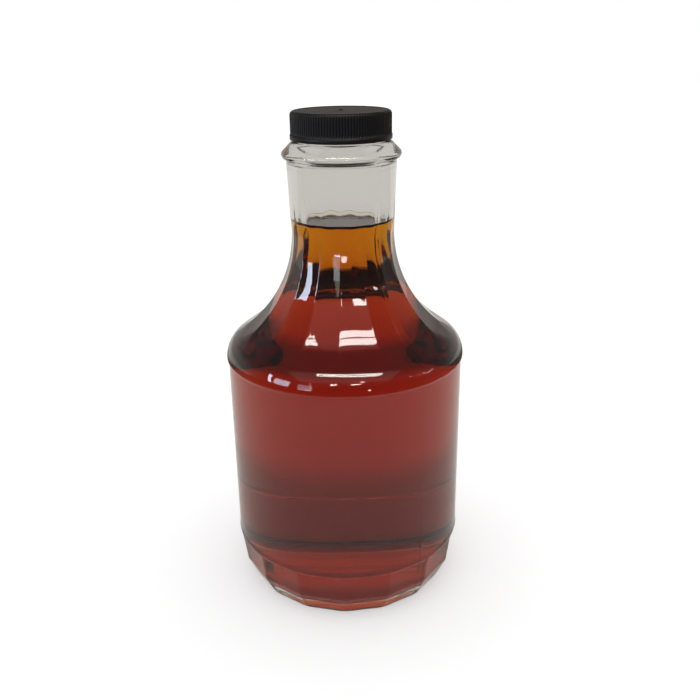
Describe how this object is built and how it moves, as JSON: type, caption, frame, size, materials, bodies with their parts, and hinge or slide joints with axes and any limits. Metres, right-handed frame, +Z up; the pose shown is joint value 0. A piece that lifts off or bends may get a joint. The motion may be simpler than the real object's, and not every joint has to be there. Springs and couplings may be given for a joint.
{
  "type": "filled syrup decanter bottle",
  "caption": "Clear glass decanter with a fluted neck and shoulder, smooth label panel and faceted foot, full of amber syrup under a ribbed black screw cap.",
  "frame": {"origin": "centre of the flat ring that the bottle stands on", "axes": "+Z up along the bottle's axis; a neck flute and a foot facet are centred on +X"},
  "size_m": [0.1022, 0.1022, 0.2067],
  "materials": {
    "clear_glass": "fire-polished clear flint glass",
    "amber_syrup": "clear red-amber liquid, modelled as a solid",
    "black_plastic": "satin moulded polypropylene"
  },
  "bodies": {
    "root": {"glass_bottle": "clear_glass", "syrup": "amber_syrup", "screw_cap": "black_plastic"}
  },
  "joints": []
}
